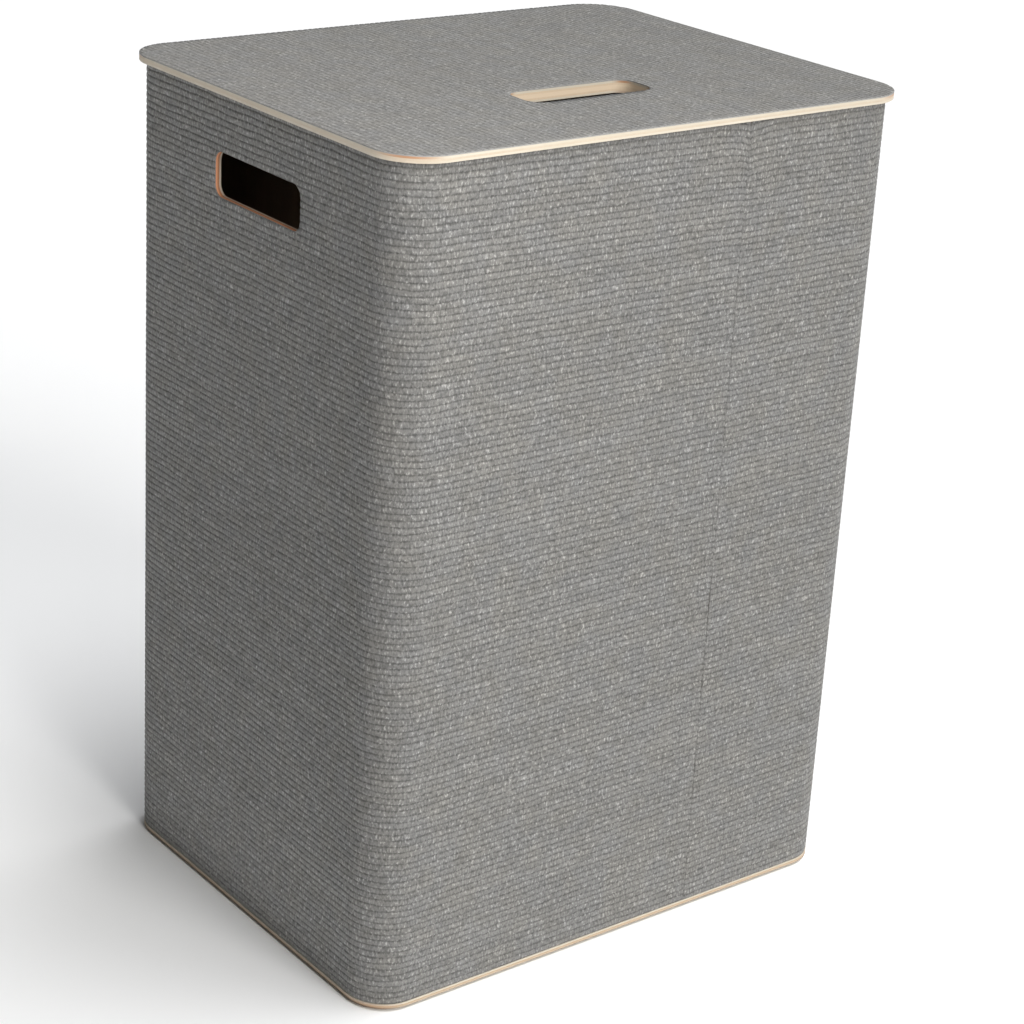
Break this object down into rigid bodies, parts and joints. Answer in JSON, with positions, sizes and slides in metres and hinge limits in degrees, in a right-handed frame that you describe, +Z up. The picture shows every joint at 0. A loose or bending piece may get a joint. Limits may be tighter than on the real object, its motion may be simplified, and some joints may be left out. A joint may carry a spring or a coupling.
{
  "type": "laundry hamper",
  "caption": "Upright rounded-box laundry hamper of bent plywood wrapped in ribbed textile, with side hand holes and a lift-off slotted lid.",
  "frame": {"origin": "on the floor, under the middle of the hamper", "axes": "+Z up along the tallest direction, +X along the wider front, the front with the seam faces -Y"},
  "size_m": [0.43, 0.34, 0.6],
  "materials": {
    "wall_textile": "ribbed paper-yarn weave, matte",
    "lid_textile": "ribbed paper-yarn weave, matte",
    "birch_face": "sanded birch veneer, satin",
    "birch_core": "cross-grain veneer, end grain darkened",
    "screw_steel": "zinc plated",
    "felt": "pressed wool felt, matte"
  },
  "bodies": {
    "hamper": {"wall_cover": "wall_textile", "wall_outer_veneer": "birch_face", "wall_core_veneer": "birch_core", "wall_inner_veneer": "birch_face", "seam_batten": "birch_face", "base_top_veneer": "birch_face", "base_core_veneer": "birch_core", "base_bottom_veneer": "birch_face", "inset_top_veneer": "birch_face", "inset_core_veneer": "birch_core", "inset_bottom_veneer": "birch_face", "base_screws": "screw_steel", "felt_glides": "felt"},
    "lid": {"lid_cover": "lid_textile", "lid_top_veneer": "birch_face", "lid_core_veneer": "birch_core", "lid_bottom_veneer": "birch_face", "locator_top_veneer": "birch_face", "locator_core_veneer": "birch_core", "locator_bottom_veneer": "birch_face"}
  },
  "joints": [
    {"name": "lid_lift", "type": "slide", "parent": "hamper", "child": "lid", "axis": [0, 0, 1], "range_m": [0, 0.25]}
  ]
}
